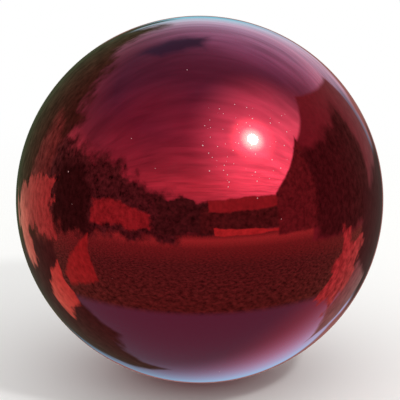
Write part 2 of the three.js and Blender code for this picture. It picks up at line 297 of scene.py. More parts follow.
def mouldedRubber(name, size):
    # Black EPDM rubber moulded in a lightly blasted tool: matt, with a fine grain, a film of
    # pale dust, and paler scuffs low down where it stands on stone.
    material, tree = emptyMaterial(name)
    place = addNode(tree, "ShaderNodeTexCoord").outputs["Object"]
    grain = addNode(tree, "ShaderNodeTexNoise", {"Vector": place, **size["grainNoise"]})
    dust = addNode(tree, "ShaderNodeTexNoise", {"Vector": place, **size["dustNoise"]})
    dusty = addNode(tree, "ShaderNodeMapRange", {
        "Value": dust, **size["dustSpan"], "To Max": size["dustShare"],
    }, **smoothStep)
    height = addNode(tree, "ShaderNodeSeparateXYZ", {0: place}).outputs[2]
    low = addNode(tree, "ShaderNodeMapRange", {
        "Value": height, "From Max": size["scuffHeight"], "To Min": size["scuffShare"], "To Max": 0,
    }, **smoothStep)
    scuffed = addNode(tree, "ShaderNodeMath", {0: low, 1: grain}, operation="MULTIPLY")
    pale = addNode(tree, "ShaderNodeMath", {0: dusty, 1: scuffed}, operation="ADD", use_clamp=True)
    colour = addNode(tree, "ShaderNodeMix", {
        0: pale, 6: hexToLinear(size["rubber"]), 7: hexToLinear(size["dust"]),
    }, data_type="RGBA")
    roughness = addNode(tree, "ShaderNodeMapRange", {
        "Value": grain, "To Min": size["roughness"], "To Max": size["roughest"],
    })
    bump = addNode(tree, "ShaderNodeBump", {"Height": grain, "Distance": size["grainHeight"]})
    shader = addNode(tree, "ShaderNodeBsdfPrincipled", {
        "Base Color": colour, "Roughness": roughness, "Normal": bump,
    })
    addNode(tree, "ShaderNodeOutputMaterial", {"Surface": shader})
    return material


print("materials ready")


# Turning a profile into a solid, with Geometry Nodes

meshSizes = {
    "mergeDistance": 0.000001,
    "sliverLength": 0.0000005,
    "filletSteps": 4,
    "sharpAngle": 35,
}


def buildTurnOnAxis():
    # A profile of (radius, height) points, turned about the upright axis. Rows marked onThread
    # climb by one pitch in each turn, so they wind into a screw thread; they stop at the
    # thread's ends, where a cone leads them in. Side is 1 for a bore's thread, -1 for a bolt's.
    tree = bpy.data.node_groups.new("turnOnAxis", "GeometryNodeTree")
    inputs = {
        "Profile": "Geometry", "Segments": "Int", "Pitch": "Float", "Thread bottom": "Float",
        "Thread top": "Float", "Bottom radius": "Float", "Top radius": "Float", "Side": "Float",
        "Material": "Material",
    }
    for name, kind in inputs.items():
        tree.interface.new_socket(name, in_out="INPUT", socket_type="NodeSocket" + kind)
    tree.interface.new_socket("Solid", in_out="OUTPUT", socket_type="NodeSocketGeometry")
    given = addNode(tree, "NodeGroupInput").outputs

    count = addNode(tree, "GeometryNodeAttributeDomainSize", {0: given["Profile"]}, component="MESH")
    rows = count.outputs["Point Count"]
    columns = addNode(tree, "ShaderNodeMath", {0: given["Segments"], 1: 1}, operation="ADD")
    grid = addNode(tree, "GeometryNodeMeshGrid", {"Vertices X": columns, "Vertices Y": rows})

    # each grid point knows its column, which is an angle, and its row, which is a profile point
    index = addNode(tree, "GeometryNodeInputIndex")
    share = addNode(tree, "ShaderNodeMath", {0: index, 1: rows}, operation="DIVIDE")
    column = addNode(tree, "ShaderNodeMath", {0: share}, operation="FLOOR")
    row = addNode(tree, "ShaderNodeMath", {0: index, 1: rows}, operation="MODULO")
    turn = addNode(tree, "ShaderNodeMath", {0: column, 1: given["Segments"]}, operation="DIVIDE")
    angle = addNode(tree, "ShaderNodeMath", {0: turn, 1: fullTurn}, operation="MULTIPLY")
    position = addNode(tree, "GeometryNodeInputPosition")
    onThread = addNode(tree, "GeometryNodeInputNamedAttribute", {"Name": "onThread"}, data_type="FLOAT")
    point, winds = [
        addNode(tree, "GeometryNodeSampleIndex", {
            "Geometry": given["Profile"], "Value": value, "Index": row,
        }, data_type=kind)
        for value, kind in ((position, "FLOAT_VECTOR"), (onThread, "FLOAT"))
    ]
    at = addNode(tree, "ShaderNodeSeparateXYZ", {0: point}).outputs

    # the height of a thread row at this angle, and how far it is from either end
    climb = addNode(tree, "ShaderNodeMath", {0: turn, 1: given["Pitch"], 2: at[2]}, operation="MULTIPLY_ADD")
    threadLevel = addNode(tree, "ShaderNodeClamp", {
        "Value": climb, "Min": given["Thread bottom"], "Max": given["Thread top"],
    })
    fromBottom = addNode(tree, "ShaderNodeMath", {
        0: threadLevel, 1: given["Thread bottom"],
    }, operation="SUBTRACT")
    fromTop = addNode(tree, "ShaderNodeMath", {0: given["Thread top"], 1: threadLevel}, operation="SUBTRACT")
    limit = at[0]
    for distance, endRadius in ((fromBottom, given["Bottom radius"]), (fromTop, given["Top radius"])):
        signedEnd = addNode(tree, "ShaderNodeMath", {0: endRadius, 1: given["Side"]}, operation="MULTIPLY")
        cone = addNode(tree, "ShaderNodeMath", {0: signedEnd, 1: distance}, operation="SUBTRACT")
        signed = addNode(tree, "ShaderNodeMath", {0: limit, 1: given["Side"]}, operation="MULTIPLY")
        outer = addNode(tree, "ShaderNodeMath", {0: signed, 1: cone}, operation="MAXIMUM")
        limit = addNode(tree, "ShaderNodeMath", {0: outer, 1: given["Side"]}, operation="MULTIPLY")

    radius = addNode(tree, "ShaderNodeMix", {0: winds, 2: at[0], 3: limit}, data_type="FLOAT")
    height = addNode(tree, "ShaderNodeMix", {0: winds, 2: at[2], 3: threadLevel}, data_type="FLOAT")
    waves = [addNode(tree, "ShaderNodeMath", {0: angle}, operation=wave) for wave in ("COSINE", "SINE")]
    x, y = [addNode(tree, "ShaderNodeMath", {0: radius, 1: wave}, operation="MULTIPLY") for wave in waves]
    place = addNode(tree, "ShaderNodeCombineXYZ", {0: x, 1: y, 2: height})
    turned = addNode(tree, "GeometryNodeSetPosition", {"Geometry": grid, "Position": place})
    closed = addNode(tree, "GeometryNodeMergeByDistance", {
        "Geometry": turned, "Distance": meshSizes["mergeDistance"],
    })
    real = addNode(tree, "GeometryNodeRealizeInstances", {0: closed})
    coloured = addNode(tree, "GeometryNodeSetMaterial", {"Geometry": real, "Material": given["Material"]})
    addNode(tree, "NodeGroupOutput", {"Solid": coloured})
    return tree


turnOnAxis = buildTurnOnAxis()


def plainMesh(source):
    # what the object looks like with its modifiers, as a mesh of its own
    bpy.context.view_layer.update()
    return bpy.data.meshes.new_from_object(source.evaluated_get(bpy.context.evaluated_depsgraph_get()))


def turnedPiece(name, profile, material, segments, thread=None):
    # the turned solid as an object at the origin, faces outward; thread rows carry a third value
    mesh = bpy.data.meshes.new(name + "Profile")
    edges = [(i, i + 1) for i in range(len(profile) - 1)]
    mesh.from_pydata([(point[0], 0, point[1]) for point in profile], edges, [])
    marks = mesh.attributes.new("onThread", "FLOAT", "POINT")
    marks.data.foreach_set("value", [float(len(point) == 3) for point in profile])
    source = addObject(name + "Profile", mesh)
    modifier = source.modifiers.new("turnOnAxis", "NODES")
    modifier.node_group = turnOnAxis
    given = {"Segments": segments, "Material": material, **(thread or {})}
    for socket in turnOnAxis.interface.items_tree:
        if socket.in_out == "INPUT" and socket.name in given:
            modifier[socket.identifier] = given[socket.name]
    solid = plainMesh(source)
    source.modifiers.remove(modifier)
    bpy.data.objects.remove(source)
    solid.name = name
    solid.materials.pop(index=0)  # the empty slot that a grid starts with
    faces = bmesh.new()
    faces.from_mesh(solid)
    if faces.calc_volume(signed=True) < 0:
        bmesh.ops.reverse_faces(faces, faces=faces.faces)
    faces.to_mesh(solid)
    faces.free()
    return addObject(name, solid)


def rounded(corners):
    # profile points from (radius, height, fillet) corners; a fillet of 0 keeps its corner sharp
    steps = meshSizes["filletSteps"]
    points = []
    for i, (x, z, fillet) in enumerate(corners):
        corner = Vector((x, z))
        if not fillet:
            points.append((x, z))
            continue
        before = Vector(corners[i - 1][:2]) - corner
        after = Vector(corners[(i + 1) % len(corners)][:2]) - corner
        halfAngle = before.angle(after) / 2
        middle = (before.normalized() + after.normalized()).normalized()
        centre = corner + middle * fillet / math.sin(halfAngle)
        start = corner + before.normalized() * fillet / math.tan(halfAngle) - centre
        end = corner + after.normalized() * fillet / math.tan(halfAngle) - centre
        fromAngle = math.atan2(start.y, start.x)
        sweep = (math.atan2(end.y, end.x) - fromAngle + math.pi) % fullTurn - math.pi
        for step in range(steps + 1):
            angle = fromAngle + sweep * step / steps
            points.append((centre.x + fillet * math.cos(angle), centre.y + fillet * math.sin(angle)))
    return points


def arc(centreRadius, height, radius, fromAngle, toAngle, steps):
    # profile points along a circle round (centreRadius, height)
    points = []
    for step in range(steps + 1):
        angle = fromAngle + (toAngle - fromAngle) * step / steps
        points.append((centreRadius + radius * math.cos(angle), height + radius * math.sin(angle)))
    return points


def cutWith(piece, *tools):
    # each tool's shape is taken out of the piece, the slivers that this leaves are closed, and
    # the tools are thrown away
    for tool in tools:
        cut = piece.modifiers.new("cut", "BOOLEAN")
        cut.operation = "DIFFERENCE"
        cut.solver = "EXACT"
        cut.object = tool
    mesh = plainMesh(piece)
    piece.modifiers.clear()
    faces = bmesh.new()
    faces.from_mesh(mesh)
    bmesh.ops.dissolve_degenerate(faces, dist=meshSizes["sliverLength"], edges=faces.edges)
    faces.to_mesh(mesh)
    faces.free()
    piece.data = mesh
    for tool in tools:
        bpy.data.objects.remove(tool)


def smoothed(piece):
    # smooth across the fillets, sharp at real edges, and flat faces shaded flat
    piece.data.shade_smooth()
    piece.data.set_sharp_from_angle(angle=math.radians(meshSizes["sharpAngle"]))
    weighted = piece.modifiers.new("flatFaces", "WEIGHTED_NORMAL")
    weighted.keep_sharp = True
    mesh = plainMesh(piece)
    piece.modifiers.clear()
    piece.data = mesh
    return piece


def standsFor(piece, body, slot, *nodes):
    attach(piece, body)
    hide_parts(*nodes)


# Sizes that the pieces share, read from the frame

weldLow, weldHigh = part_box("seam_weld")
bushLow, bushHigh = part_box("base_bush")
plugLow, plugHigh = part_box("base_plug")
washerLow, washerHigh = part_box("plug_washer")
gasketLow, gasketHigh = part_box("bush_gasket")
footLow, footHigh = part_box("foot_ring")

ballRadius = weldHigh.x
centreHeight = (weldLow.z + weldHigh.z) / 2
ballCentre = Vector((0, 0, centreHeight))
weldWidth = weldHigh.z - weldLow.z
flangeRadius = bushHigh.x
flangeTop = gasketLow.z
seatUnderside = gasketHigh.z
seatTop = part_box("bush_lock_nut")[0].z
sheetThickness = seatTop - seatUnderside
pocketRoof = washerHigh.z

materials = {
    # the painted sparkle's centre: the point on the ball under the key lamp's glint in the camera's view
    "lacquer": redLacquerOverMirrorSteel(ballCentre + ballRadius * Vector(lacquerFinish["glintSparkleWay"])),
    "turned": turnedStainlessSteel(),
    "mill": millFinishSteel(),
    "footRubber": mouldedRubber("moulded_foot_rubber", footRubberFinish),
    "sealRubber": mouldedRubber("moulded_seal_rubber", sealRubberFinish),
}


# The ball: two spun halves and the polished weld between them

shellSizes = {
    "groundClearance": 0.0008,
    "foldInsideRadius": 0.0006,
    "recessCorner": 0.0005,
    "recessClearance": 0.0006,
    "holeRadius": 0.01515,
    "weldRoot": 0.0002,
    "segments": 320,
    "outerRows": 80,
    "innerRows": 20,
    "foldRows": 8,
    "weldRows": 4,
    "outwardMatch": 0.99,
    "skinTolerance": 0.01,
}

insideRadius = ballRadius - sheetThickness


def rimAngle(radius):
    # where a surface of this radius meets the weld's flat edge
    return math.asin(weldWidth / 2 / radius)


def roundNormals(piece):
    # the outside gets the true sphere's normals, so that reflections cross the weld unbroken
    mesh = piece.data
    normals = [Vector(corner.vector) for corner in mesh.corner_normals]
    for face in mesh.polygons:
        outward = (face.center - ballCentre).normalized()
        if face.normal.dot(outward) < shellSizes["outwardMatch"]:
            continue
        for loop in face.loop_indices:
            fromCentre = mesh.vertices[mesh.loops[loop].vertex_index].co - ballCentre
            if abs(fromCentre.length - ballRadius) < sheetThickness * shellSizes["skinTolerance"]:
                normals[loop] = fromCentre.normalized()
    mesh.normals_split_custom_set(normals)


def upperHalf():
    size = shellSizes
    inside = arc(0, centreHeight, insideRadius, quarterTurn, rimAngle(insideRadius), size["innerRows"])
    outside = arc(0, centreHeight, ballRadius, rimAngle(ballRadius), quarterTurn, size["outerRows"])
    return turnedPiece("ball_upper_half", [*inside, *outside], materials["lacquer"], size["segments"])


def lowerHalf():
    size = shellSizes
    recessRadius = flangeRadius + size["recessClearance"]
    foldInside = size["foldInsideRadius"]
    fold = foldInside + sheetThickness
    foldCentre = (recessRadius + fold, size["groundClearance"] + fold)
    corner = size["recessCorner"]
    cornerCentre = (recessRadius - corner, seatUnderside - corner)
    foldAngle = -math.acos(foldCentre[0] / (ballRadius - fold))
    rows = size["foldRows"]
    outline = [
        (size["holeRadius"], seatUnderside),
        *arc(*cornerCentre, corner, quarterTurn, 0, rows),
        *arc(*foldCentre, fold, -math.pi, foldAngle, rows),
        *arc(0, centreHeight, ballRadius, foldAngle, -rimAngle(ballRadius), size["outerRows"])[1:],
        *arc(0, centreHeight, insideRadius, -rimAngle(insideRadius), foldAngle, size["innerRows"]),
        *arc(*foldCentre, foldInside, foldAngle, -math.pi, rows)[1:],
        *arc(*cornerCentre, corner + sheetThickness, 0, quarterTurn, rows),
        (size["holeRadius"], seatTop),
    ]
    outline.append(outline[0])
    return turnedPiece("ball_lower_half", outline, materials["lacquer"], size["segments"])


def polishedWeld():
    size = shellSizes
    root = insideRadius - size["weldRoot"]
    rim = rimAngle(ballRadius)
    face = arc(0, centreHeight, ballRadius, -rim, rim, size["weldRows"])
    outline = [(root, weldLow.z), *face, (root, weldHigh.z), (root, weldLow.z)]
    return turnedPiece("ball_seam_weld", outline, materials["lacquer"], size["segments"])


ballPieces = [upperHalf(), lowerHalf(), polishedWeld()]
for shell, node in zip(ballPieces, ("upper_shell", "lower_shell", "seam_weld")):
    roundNormals(smoothed(shell))
    standsFor(shell, "ball", "red_lacquered_steel", node)
print("ball shells and weld ready")


# The base fitting: bush, gasket, lock nut and foot ring

threadSizes = {
    "majorRadius": 0.008,
    "pitch": 0.002,
    "depth": 0.001,
    "flankAngle": math.pi / 6,
    "crestWidth": 0.00025,
    "radialClearance": 0.00015,
    "flankClearance": 0.00012,
    "leadIn": 0.0012,
    "segments": 96,
}


def threadRows(core, crest, crestWidth, bottom, top):
    # one turn's rows are the flanks' four corners; enough turns to run past both ends
    rootWidth = crestWidth + 2 * threadSizes["depth"] * math.tan(threadSizes["flankAngle"])
    pitch = threadSizes["pitch"]
    firstTurn = math.floor((bottom - pocketRoof) / pitch) - 1
    lastTurn = math.ceil((top - pocketRoof) / pitch) + 1
    rows = []
    for turn in range(firstTurn, lastTurn + 1):
        middle = pocketRoof + pitch * turn
        rows += [
            (core, middle - rootWidth / 2, True), (crest, middle - crestWidth / 2, True),
            (crest, middle + crestWidth / 2, True), (core, middle + rootWidth / 2, True),
        ]
    return rows


bushSizes = {
    "bodyRadius": 0.01465,
    "pocketRadius": 0.01215,
    "landWidth": 0.0062,
    "rimWidth": 0.0016,
    "edge": 0.0002,
    "outerEdge": 0.0004,
    "spannerHoleRadius": 0.0016,
    "spannerHoleDepth": 0.0016,
    "drillPoint": 0.0005,
    "countersink": 0.0002,
    "holeSegments": 40,
}


def baseBush():
    size = bushSizes
    thread = threadSizes
    core = thread["majorRadius"] - thread["depth"]
    mouth = core + thread["leadIn"]
    crestWidth = thread["crestWidth"] + 2 * thread["flankClearance"]
    ground = bushLow.z
    grooveInner = size["pocketRadius"] + size["landWidth"]
    grooveOuter = flangeRadius - size["rimWidth"]
    rows = threadRows(core, thread["majorRadius"], crestWidth, pocketRoof, bushHigh.z)
    outside = rounded([
        (mouth, bushHigh.z, 0),
        (size["bodyRadius"], bushHigh.z, size["outerEdge"]),
        (size["bodyRadius"], flangeTop, size["edge"]),
        (flangeRadius, flangeTop, size["edge"]),
        (flangeRadius, ground, size["outerEdge"]),
        (grooveOuter, ground, size["edge"]),
        (grooveOuter, footHigh.z, size["edge"]),
        (grooveInner, footHigh.z, size["edge"]),
        (grooveInner, ground, size["edge"]),
        (size["pocketRadius"], ground, size["edge"]),
        (size["pocketRadius"], pocketRoof, size["edge"]),
        (mouth, pocketRoof, 0),
    ])
    bush = turnedPiece("base_bush_turned", [*rows, *outside], materials["turned"], thread["segments"], {
        "Pitch": thread["pitch"], "Thread bottom": pocketRoof, "Thread top": bushHigh.z,
        "Bottom radius": mouth, "Top radius": mouth, "Side": 1.0,
    })
    hole = size["spannerHoleRadius"]
    flare = size["countersink"]
    deep = ground + size["spannerHoleDepth"]
    drill = [
        (0, ground - hole), (hole + flare, ground - hole), (hole + flare, ground),
        (hole, ground + flare), (hole, deep), (0, deep + size["drillPoint"]),
    ]
    tools = []
    for side in (-1, 1):
        tool = turnedPiece("spannerDrill", drill, materials["turned"], size["holeSegments"])
        reach = side * (size["pocketRadius"] + grooveInner) / 2
        for vertex in tool.data.vertices:
            vertex.co.x += reach
        tools.append(tool)
    cutWith(bush, *tools)
    return smoothed(bush)


sealSizes = {
    "footWidth": 0.0026,
    "footEdge": 0.0005,
    "footTopEdge": 0.0001,
    "gasketEdge": 0.00015,
    "washerInner": 0.00825,
    "washerEdge": 0.0002,
    "segments": 96,
}


def ringOf(name, inner, outer, low, high, lowEdge, highEdge, material):
    # a ring of square section, with its lower and upper edges rounded
    outline = rounded([
        (inner, low, lowEdge), (outer, low, lowEdge), (outer, high, highEdge), (inner, high, highEdge),
    ])
    outline.append(outline[0])
    return smoothed(turnedPiece(name, outline, materials[material], sealSizes["segments"]))


bush = baseBush()
standsFor(bush, "ball", "turned_stainless_steel", "base_bush")

foot = ringOf(
    "foot_ring_moulded", footHigh.x - sealSizes["footWidth"], footHigh.x, footLow.z, footHigh.z,
    sealSizes["footEdge"], sealSizes["footTopEdge"], "footRubber",
)
standsFor(foot, "ball", "foot_rubber", "foot_ring")

gasket = ringOf(
    "bush_gasket_cut", shellSizes["holeRadius"], gasketHigh.x, gasketLow.z, gasketHigh.z,
    sealSizes["gasketEdge"], sealSizes["gasketEdge"], "sealRubber",
)
standsFor(gasket, "ball", "sealing_rubber", "bush_gasket")

carriedOver = [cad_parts[name] for name in ("bush_lock_nut", "seam_band")]
for item in carriedOver:
    for holder in item.material_slots:
        holder.material = materials["mill"]
print("base fitting ready")


# The screw plug and its washer

plugSizes = {
    "headRim": 0.0004,
    "headTopRim": 0.0002,
    "neckFillet": 0.0003,
    "neckLength": 0.001,
    "headThickness": 0.0024,
    "slotLength": 0.016,
    "slotWidth": 0.0024,
    "slotDepth": 0.0014,
    "slotFlare": 0.00018,
    "slotEndSteps": 10,
}


def slotCutter():
    # a slot with round ends, as an end mill leaves it, its mouth opened by a small bevel
    size = plugSizes
    half = size["slotWidth"] / 2
    reach = size["slotLength"] / 2 - half
    flare = size["slotFlare"]
    face = plugLow.z
    levels = [(face - half, half + flare), (face + flare, 0), (face + size["slotDepth"], 0)]
    cutter = bmesh.new()
    loops = []
    for height, grow in levels:
        points = [
            point for side, start in ((reach, -quarterTurn), (-reach, quarterTurn))
            for point in arc(side, 0, half + grow, start, start + math.pi, size["slotEndSteps"])
        ]
        loops.append([cutter.verts.new((x, y, height)) for x, y in points])
    for lower, upper in zip(loops, loops[1:]):
        for i in range(len(lower)):
            j = (i + 1) % len(lower)
            cutter.faces.new((lower[i], lower[j], upper[j], upper[i]))
    cutter.faces.new(list(reversed(loops[0])))
    cutter.faces.new(loops[-1])
    mesh = meshOf("coinSlot", cutter)
    mesh.materials.append(materials["turned"])
    return addObject("coinSlot", mesh)


def screwPlug():
    size = plugSizes
    thread = threadSizes
    crest = thread["majorRadius"] - thread["radialClearance"]
    core = thread["majorRadius"] - thread["depth"] - thread["radialClearance"]
    neckTop = pocketRoof + size["neckLength"]
    headTop = plugLow.z + size["headThickness"]
    tipRadius = core - thread["leadIn"]
    rows = threadRows(core, crest, thread["crestWidth"], neckTop, plugHigh.z)
    head = rounded([
        (0, plugLow.z, 0),
        (plugHigh.x, plugLow.z, size["headRim"]),
        (plugHigh.x, headTop, size["headTopRim"]),
        (core, headTop, size["neckFillet"]),
        (core, neckTop, 0),
    ])
    tip = [(tipRadius, plugHigh.z), (0, plugHigh.z)]
    plug = turnedPiece("base_plug_turned", [*head, *rows, *tip], materials["turned"], thread["segments"], {
        "Pitch": thread["pitch"], "Thread bottom": neckTop, "Thread top": plugHigh.z,
        "Bottom radius": core, "Top radius": tipRadius, "Side": -1.0,
    })
    cutWith(plug, slotCutter())
    return smoothed(plug)


plug = screwPlug()
standsFor(plug, "plug", "turned_stainless_steel", "base_plug")

washer = ringOf(
    "plug_washer_moulded", sealSizes["washerInner"], washerHigh.x, washerLow.z, washerHigh.z,
    sealSizes["washerEdge"], sealSizes["washerEdge"], "sealRubber",
)
standsFor(washer, "washer", "sealing_rubber", "plug_washer")
print("plug and washer ready")


# The studio: white floor, and a soft surround that only the ball's mirror sees

studioSizes = {
    "floorRadius": 1.5,
    "floorSegments": 128,
    "floorFadeFrom": 0.35,
    "floorFadeTo": 0.9,
    "surroundRadius": 3.0,
    "plainRadius": 2.9,
    "plainTone": "#E4E4E2",
    "surroundColumns": 96,
    "surroundRows": 48,
    "keyWay": (44.3, 45.3),
    "keyDistance": 2.4,
    "keyRadius": 0.12,
    "keyPower": 14.0,
    "worldLight": 0.96,
    "floorTone": "#F6F6F4",
    "white": "#FFFFFF",
}


def towards(azimuth, elevation):
    # a direction from the ball, in degrees: azimuth 0 is the camera's side, 90 is its right
    a, e = math.radians(azimuth), math.radians(elevation)
    return Vector((math.sin(a) * math.cos(e), -math.cos(a) * math.cos(e), math.sin(e)))


def aimedAtBall(name, data, azimuth, elevation, distance):
    # a lamp or camera on that side of the ball, looking at its middle
    item = addObject(name, data)
    way = towards(azimuth, elevation)
    item.location = ballCentre + way * distance
    item.rotation_euler = way.to_track_quat("Z", "Y").to_euler()
    return item


def whiteFloor():
    # matt white near the ball, where it takes the shadow, and plain white further out; it lets
    # light and sight through from below, so that the underside can be looked at
    size = studioSizes
    floor = bmesh.new()
    bmesh.ops.create_circle(floor, cap_ends=True, radius=size["floorRadius"], segments=size["floorSegments"])
    mesh = meshOf("studio_floor", floor)
    material, tree = emptyMaterial("matt_white_floor")
    place = addNode(tree, "ShaderNodeTexCoord").outputs["Object"]
    distance = addNode(tree, "ShaderNodeVectorMath", {0: place}, operation="LENGTH")
    far = addNode(tree, "ShaderNodeMapRange", {
        "Value": distance, "From Min": size["floorFadeFrom"], "From Max": size["floorFadeTo"],
    }, **smoothStep)
    matt = addNode(tree, "ShaderNodeBsdfDiffuse", {"Color": hexToLinear(size["floorTone"])})
    white = addNode(tree, "ShaderNodeEmission", {"Color": hexToLinear(size["white"])})
    faded = addNode(tree, "ShaderNodeMixShader", {0: far, 1: matt, 2: white})
    clear = addNode(tree, "ShaderNodeBsdfTransparent")
    rays = addNode(tree, "ShaderNodeLightPath").outputs
    seen = addNode(tree, "ShaderNodeMath", {
        0: rays["Is Camera Ray"], 1: rays["Is Transmission Ray"],
    }, operation="MAXIMUM")
    below = addNode(tree, "ShaderNodeNewGeometry").outputs["Backfacing"]
    above = addNode(tree, "ShaderNodeMath", {0: 1, 1: below}, operation="SUBTRACT")
    shown = addNode(tree, "ShaderNodeMath", {0: seen, 1: above}, operation="MULTIPLY")
    surface = addNode(tree, "ShaderNodeMixShader", {0: shown, 1: clear, 2: faded})
    addNode(tree, "ShaderNodeOutputMaterial", {"Surface": surface})
    mesh.materials.append(material)
    addObject("studio_floor", mesh)


# Tones of the surround by elevation: its lower side, then its upper side
lowerTones = [
    (-90, "#5A6048"), (-45, "#586149"), (-24, "#5A614D"),
    (-14, "#776B57"), (-9, "#A58C70"), (-5, "#4C4A40"),
]

upperTones = [
    (-5, "#4A4B44"), (9, "#4A4B44"), (13, "#8B7E7C"), (22, "#A88F90"),
    (31, "#79767C"), (50, "#59697E"), (70, "#5D6F84"), (90, "#657489"),
]

# Broad soft glows on the surround. For each: its azimuth and elevation, the angles from there at
# which it is still full and at which it has faded out, and its light.
surroundGlows = {
    "keySide": (54, 38, 9, 50, (1.0, 0.96, 0.98)),
    "lowFront": (18, 22, 4, 60, (0.3, 0.17, 0.17)),
    "farSide": (160, 0, 5, 80, (0.08, 0.22, 0.32)),
    "farRim": (-178, 13, 4, 24, (0.1, 0.42, 0.48)),
    "farEdge": (162, 3, 3, 18, (0.42, 0.16, 0.18)),
    "farHigh": (158, 38, 8, 40, (0.17, 0.26, 0.42)),
    "nearLeft": (-44, 50, 12, 40, (0.1, 0.02, 0.02)),
}

# The same for the round card under the ball
lowGlows = {
    "farLow": (158, -44, 3, 40, (0.26, 0.48, 0.76)),
    "rightLow": (128, -46, 8, 38, (0.15, 0.01, 0.01)),
}

# Flags and cards round the set, each in front of those above it. For each: the azimuth of its
# middle, half its width, its bottom and its top; how its top slopes, and how far it falls away
# to both sides; how soft and how ragged its edge is; how mottled its cloth is; and its tone.
studioCards = {
    "farFlagBack": (-148, 25, -27, 9, 0, 0, 5, 4, 0, "#464C36"),
    "farCardBack": (172, 18, -33, 1, 0, 0, 4, 3, 0, "#976A64"),
    "highFlagBack": (-166, 13, 53, 58, 0, 0.1, 9, 4, 0, "#3E6079"),
    "farFlagLeft": (-137, 30, -12, 35, 0.1, 0.3, 8, 12, 0.5, "#404C37"),
    "midFlagLeft": (-108, 17, -2, 17, -0.1, 0.2, 6, 10, 0.6, "#696150"),
    "darkFlagLeft": (-61, 44, -7, 25, -0.08, 0.2, 8, 13, 0.9, "#4B5347"),
    "deepFlagLeft": (-84, 11, -8, 14, 0, 0.2, 7, 10, 0.5, "#33392F"),
    "lowStripLeft": (-48, 18, -3, 7, -0.05, 0.12, 2.5, 6, 0.4, "#92695B"),
    "lowFlagFront": (-8, 16, -5, 14, -0.05, 0.1, 2, 5, 0.7, "#444F41"),
    "baseFlagFront": (28, 27, -4, 9, 0, 0, 1.5, 2, 0.6, "#4F5242"),
    "lowStripFront": (28, 22, 8, 14, 0, 0.05, 1.5, 2, 0.2, "#93695C"),
    "baseStripFront": (33, 24, -6.1, -4.3, -0.07, 0, 1, 1.5, 0.3, "#B88169"),
    "tallFlagRight": (109, 37, -14, 43, -0.18, 0.5, 2.5, 1, 0.15, "#785F5F"),
    "sideFlagRight": (62, 14, -8, 24, 0.75, 0, 2, 1, 0.5, "#64554B"),
    "deepFlagRight": (101, 24, -12, 23, -0.1, 0, 6, 6, 0.5, "#463F39"),
    "farFlagRight": (139, 19, -26, -7, 0, 0, 5, 5, 0.2, "#463F3B"),
    "paleCardLeft": (-125, 25, -15, -4, 0.35, 0, 2, 11, 0.4, "#A27F6B"),
    "lowFlagLeft": (-132, 27, -58, -20, 0, 0.1, 5, 6, 0.3, "#45463C"),
    "paleSpotLeft": (-138, 7, -23, -13, 0, 0, 3, 9, 0.4, "#C0937B"),
    "lowCardLeft": (-118, 14, -42, -31.5, 0.22, 0, 2, 5, 0.3, "#C3886F"),
    "lowHookLeft": (-85, 13, -34, -23.5, 0.65, 0, 2.5, 4, 0.3, "#9C6957"),
    "lowStripRight": (135, 12, -42, -27, 0, 0, 2, 4, 0.3, "#887B76"),
    "lowCardRight": (109.5, 11, -41, -19, -0.25, 0, 3, 9, 0.6, "#AA756A"),
}

# The surround's patterns and its round card. Each Scale is one over a grain's size at 1 m away.
surroundSizes = {
    "streakScale": (1 / 0.9, 1 / 0.17, 1),
    "streakTurn": (0, 0, 0.15),
    "streakNoise": {"Scale": 1, "Detail": 5, "Roughness": 0.55, "Distortion": 0.5},
    "streakDepth": 0.26,
    "ceilingFrom": 0.15,
    "mottleNoise": {"Scale": 1 / 0.075, "Detail": 3, "Roughness": 0.7},
    "mottleDepth": 0.7,
    "clothFrom": 0.12,
    "lowerFrom": -4,
    "lowerTo": -6,
    "raggedNoise": {"Scale": 1 / 0.143, "Detail": 6, "Roughness": 0.6},
    "weaveNoise": {"Scale": 1 / 0.045, "Detail": 5, "Roughness": 0.65},
    "lowTone": "#638393",
    "lowWay": (180, -75),
    "lowReach": 48,
    "lowSoft": 2.5,
}

# The haze of light round the key lamp, in two widths: full to, none from, and its light
keyHalos = [(1.5, 15.5, (2.5, 2.5, 1.9)), (2, 8.2, (12, 12, 5))]


def toneRamp(tree, elevation, tones):
    # colours by elevation, blended between the listed ones
    height = addNode(tree, "ShaderNodeMapRange", {"Value": elevation, "From Min": -90, "From Max": 90})
    ramp = addNode(tree, "ShaderNodeValToRGB", {0: height})
    stops = ramp.color_ramp.elements
    for i, (degrees, tone) in enumerate(tones):
        position = (degrees + 90) / 180
        stop = stops[i] if i < 2 else stops.new(position)
        stop.position = position
        stop.color = hexToLinear(tone)
    return ramp


def onLevelPlane(tree, part, limit, operation):
    # where each direction meets a level plane above or below, held back from the horizon
    rise = addNode(tree, "ShaderNodeMath", {0: part[2], 1: limit}, operation=operation)
    plane = {i: addNode(tree, "ShaderNodeMath", {0: part[i], 1: rise}, operation="DIVIDE") for i in (0, 1)}
    return addNode(tree, "ShaderNodeCombineXYZ", plane)


def anglesFrom(tree, way, direction):
    # degrees between each direction of the surround and a given one
    match = addNode(tree, "ShaderNodeVectorMath", {0: way, 1: direction}, operation="DOT_PRODUCT")
    angle = addNode(tree, "ShaderNodeMath", {0: match}, operation="ARCCOSINE")
    return addNode(tree, "ShaderNodeMath", {0: angle}, operation="DEGREES")


def withGlows(tree, way, tone, glows):
    # the tone with light added, which is full round each glow's direction and fades out from there
    for azimuth, elevation, full, none, light in glows:
        share = addNode(tree, "ShaderNodeMapRange", {
            "Value": anglesFrom(tree, way, towards(azimuth, elevation)), "From Min": none, "From Max": full,
        }, **smoothStep)
        glow = addNode(tree, "ShaderNodeVectorMath", {0: light, 3: share}, operation="SCALE")
        tone = addNode(tree, "ShaderNodeVectorMath", {0: tone, 1: glow}, operation="ADD")
    return tone


